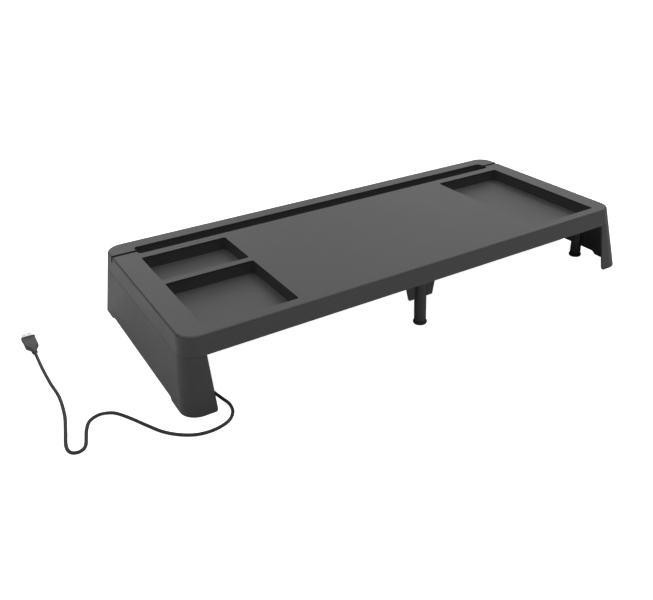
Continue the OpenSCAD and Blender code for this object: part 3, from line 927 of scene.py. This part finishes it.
for node, side in (("left_leg_screws", -1), ("right_leg_screws", 1)):
    stands_for(screws([(side * SCREW_X, y) for y in SCREW_Y], WEB_Z, 0.014), "screw_steel", "stand", node)
stands_for(screws(TAB_SCREWS, TAB_Z, 0.010), "screw_steel", "stand", "post_screws")
stands_for(screws([(-SCREW_X, side * EAR_Y) for side in (-1, 1)], WEB_Z - EAR_T, 0.005), "screw_steel",
           "stand", "hub_screws")

# CAD nodes that show as they are, each with its slot and the width of its rounded edges
KEPT = {
    "hub_housing": ("hub_plastic", 0.0004),
    "hub_cover": ("hub_plastic", 0.0002),
    "hub_board": ("board_green", 0.0001),
    "hub_chip": ("chip_black", 0.0001),
}
for kind, slot in (("socket", "socket_metal"), ("tongue", "tongue_white")):
    for number in (1, 2, 3):
        KEPT[f"hub_{kind}_{number}"] = (slot, 0.0001)
for node, (slot, width) in KEPT.items():
    dress(soften(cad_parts[node], width), slot)


# ---- floor and lights ----

STUDIO_R = 8.0
STUDIO_H = 6.0
FLOOR_GLOW = 0.05
CEILING = 1.4                       # radiance of the ceiling panel
SOFTBOX_FAR = 3.2
SOFTBOX_R = 1.25
# Round softboxes, as (name, degrees round from +X, degrees up, radiance)
SOFTBOXES = (
    ("right", 0, 55, 1.65),
    ("rear_right", 45, 25, 0.88),
    ("rear", 90, 25, 1.05),
    ("left", 180, 25, 0.20),
)


def paint_pale(obj, name, glow):
    """Paints obj matt and nearly white, with a little light of its own."""
    material, tree, shader, where = new_material(name)
    tone = blend_colour(tree, noise(tree, where, 3.0), grey(0.80), grey(0.82))
    tree.links.new(tone, shader.inputs["Base Color"])
    shader.inputs["Roughness"].default_value = 0.9
    shader.inputs["Specular IOR Level"].default_value = 0.1
    shader.inputs["Emission Color"].default_value = (1, 1, 1, 1)
    shader.inputs["Emission Strength"].default_value = glow
    obj.data.materials.append(material)


def add_floor():
    """The pale floor: the camera sees a round cove, and the light falls on a plain floor in it."""
    cove = turned("floor", 0, 0, [(STUDIO_R, -0.0001), (STUDIO_R, STUDIO_H)], 96)
    paint_pale(cove, "cove_paint", 1.0)
    cove.visible_diffuse = False
    cove.visible_glossy = False
    cove.visible_shadow = False
    mesh = bpy.data.meshes.new("floor_lit")
    corners = ((-1, -1), (1, -1), (1, 1), (-1, 1))
    mesh.from_pydata([(x * STUDIO_R, y * STUDIO_R, -0.0002) for x, y in corners], [], [(0, 1, 2, 3)])
    lit = add_object("floor_lit", mesh)
    paint_pale(lit, "floor_paint", FLOOR_GLOW)
    lit.visible_camera = False


def add_world():
    """A wide ceiling panel overhead, and nothing else."""
    world = bpy.data.worlds.new("studio")
    world.use_nodes = True
    tree = world.node_tree
    where = new_node(tree, "ShaderNodeTexCoord").outputs["Generated"]
    parts = new_node(tree, "ShaderNodeSeparateXYZ")
    tree.links.new(where, parts.inputs["Vector"])
    background = tree.nodes["Background"]
    background.inputs["Color"].default_value = (1, 1, 1, 1)
    tree.links.new(ramp(tree, parts.outputs["Z"], 0.66, 0.74, 0, CEILING), background.inputs["Strength"])
    bpy.context.scene.world = world


def add_softbox(name, around, up, radiance):
    """A round soft light that faces the origin."""
    data = bpy.data.lights.new(name, "AREA")
    data.shape = "DISK"
    data.size = 2 * SOFTBOX_R
    data.energy = radiance * math.pi * math.pi * SOFTBOX_R ** 2
    light = add_object(name, data)
    turn, rise = math.radians(around), math.radians(up)
    level = math.cos(rise)
    light.location = SOFTBOX_FAR * Vector((level * math.cos(turn), level * math.sin(turn), math.sin(rise)))
    light.rotation_euler = (-light.location).to_track_quat("-Z", "Y").to_euler()


add_floor()
add_world()
for softbox in SOFTBOXES:
    add_softbox(*softbox)
